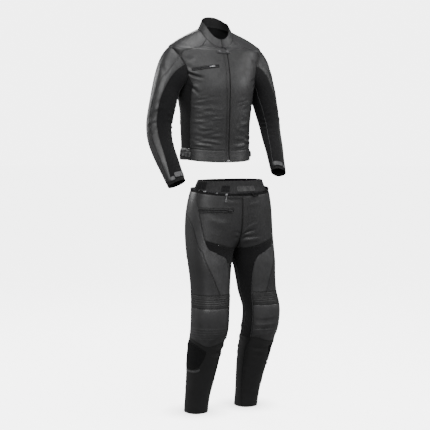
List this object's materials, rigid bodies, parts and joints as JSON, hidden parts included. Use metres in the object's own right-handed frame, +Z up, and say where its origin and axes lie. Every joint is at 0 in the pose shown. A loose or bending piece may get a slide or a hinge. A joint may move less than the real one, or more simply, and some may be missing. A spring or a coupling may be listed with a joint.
{
  "type": "two-piece motorcycle suit",
  "caption": "Black leather and stretch-fabric motorcycle suit: a stand-collar jacket with a front zip above matching trousers, filled out as when worn.",
  "frame": {"origin": "middle of the jacket's neck seam, between the shoulders that carry the jacket", "axes": "+Z up along the wearer, -Y is the suit's front, +X is the wearer's left"},
  "size_m": [0.6668, 0.2766, 1.7693],
  "materials": {
    "leather": "semi-gloss grained black leather",
    "stretch": "matt black woven stretch fabric",
    "trim": "matt black webbing, zip tape and binding",
    "hook": "matt black hook-and-loop tape",
    "metal": "satin nickel plated zip hardware"
  },
  "bodies": {
    "suit": {"jacket_back": "leather", "jacket_chest_zip": "trim", "jacket_collar": "leather", "jacket_front_left": "leather", "jacket_front_right": "leather", "jacket_side_left": "stretch", "jacket_side_right": "stretch", "jacket_snap_1": "trim", "jacket_snap_2": "trim", "jacket_throat_tab": "leather", "jacket_waistband_back": "leather", "jacket_waistband_left": "leather", "jacket_waistband_right": "leather", "jacket_yoke_left": "leather", "jacket_yoke_right": "leather", "jacket_zip": "leather", "jacket_zip_box": "metal", "sleeve_cuff_left": "trim", "sleeve_cuff_right": "trim", "sleeve_front_left": "stretch", "sleeve_front_right": "stretch", "sleeve_outer_left": "leather", "sleeve_outer_right": "leather", "sleeve_strip_left": "leather", "sleeve_strip_right": "leather", "sleeve_tab_left": "leather", "sleeve_tab_right": "leather", "sleeve_under_left": "stretch", "sleeve_under_right": "stretch", "trousers_back_left": "leather", "trousers_back_right": "leather", "trousers_calf_left": "leather", "trousers_calf_right": "leather", "trousers_crotch_left": "stretch", "trousers_crotch_right": "stretch", "trousers_fly": "leather", "trousers_front_left": "leather", "trousers_front_right": "leather", "trousers_inner_back_left": "stretch", "trousers_inner_back_right": "stretch", "trousers_knee_left": "leather", "trousers_knee_right": "leather", "trousers_patch_left": "hook", "trousers_patch_right": "hook", "trousers_pocket": "trim", "trousers_ribs_left": "leather", "trousers_ribs_right": "leather", "trousers_shin_left": "leather", "trousers_shin_right": "leather", "trousers_side_left": "leather", "trousers_side_right": "leather", "trousers_thigh_left": "leather", "trousers_thigh_right": "leather", "trousers_waist_tab": "leather", "trousers_waistband": "trim", "trousers_zip_slider": "metal", "trousers_zip_tape": "trim"},
    "chest_pull": {"jacket_chest_pull": "metal"},
    "connection_pull": {"trousers_zip_pull": "metal"},
    "pocket_pull": {"trousers_pocket_pull": "trim"}
  },
  "joints": [
    {"name": "chest_pocket_zip_pull", "type": "hinge", "parent": "suit", "child": "chest_pull", "pos_m": [-0.08601, -0.10777, -0.14272], "axis": [0.096, -0.2256, -0.9695], "range_deg": [0, 150]},
    {"name": "connection_zip_pull", "type": "hinge", "parent": "suit", "child": "connection_pull", "pos_m": [-0.01704, -0.13431, -0.70199], "axis": [-0.9641, 0.2184, 0.1513], "range_deg": [0, 90]},
    {"name": "hip_pocket_zip_pull", "type": "hinge", "parent": "suit", "child": "pocket_pull", "pos_m": [0.01026, -0.14221, -0.764], "axis": [0.0109, 0.0244, 0.9996], "range_deg": [0, 150]}
  ]
}
